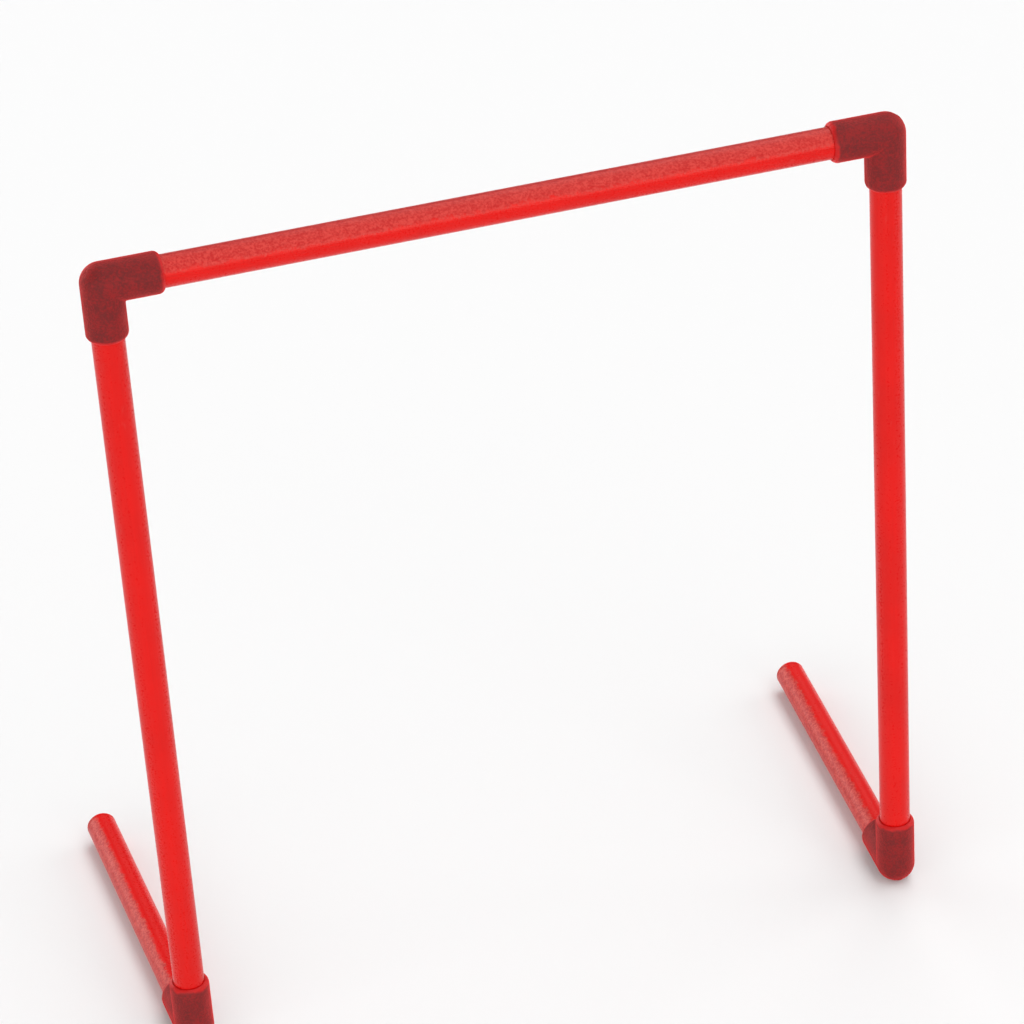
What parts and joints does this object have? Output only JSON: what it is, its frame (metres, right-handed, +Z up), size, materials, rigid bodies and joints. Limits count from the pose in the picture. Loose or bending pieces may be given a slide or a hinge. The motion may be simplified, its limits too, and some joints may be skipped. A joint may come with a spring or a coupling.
{
  "type": "speed hurdle",
  "caption": "Low training hurdle in push-fit plastic pipe: a crossbar on uprights joined by moulded elbows, with long feet that swivel to fold flat.",
  "frame": {"origin": "on the floor, midway between the uprights and in their plane", "axes": "+X along the crossbar to the right, +Y from the uprights along the feet, +Z up"},
  "size_m": [0.5602, 0.2679, 0.6073],
  "materials": {
    "pipe": "bright red extruded pipe, semi-gloss with fine draw lines",
    "elbow": "dark red moulded fitting, fine matt texture",
    "plug": "red moulded plug, satin"
  },
  "bodies": {
    "crossbar": {"crossbar": "pipe"},
    "left_leg": {"top_elbow_left": "elbow", "upright_left": "pipe"},
    "right_leg": {"top_elbow_right": "elbow", "upright_right": "pipe"},
    "left_foot": {"bottom_elbow_left": "elbow", "foot_tube_left": "pipe", "foot_plug_left": "plug"},
    "right_foot": {"bottom_elbow_right": "elbow", "foot_tube_right": "pipe", "foot_plug_right": "plug"}
  },
  "joints": [
    {"name": "left_leg_swing", "type": "hinge", "parent": "crossbar", "child": "left_leg", "pos_m": [-0.2575, 0, 0.59365], "axis": [1, 0, 0], "continuous": true},
    {"name": "right_leg_swing", "type": "hinge", "parent": "crossbar", "child": "right_leg", "pos_m": [0.2575, 0, 0.59365], "axis": [1, 0, 0], "continuous": true},
    {"name": "left_foot_swivel", "type": "hinge", "parent": "left_leg", "child": "left_foot", "pos_m": [-0.2575, 0, 0.01365], "axis": [0, 0, 1], "continuous": true},
    {"name": "right_foot_swivel", "type": "hinge", "parent": "right_leg", "child": "right_foot", "pos_m": [0.2575, 0, 0.01365], "axis": [0, 0, -1], "continuous": true}
  ]
}
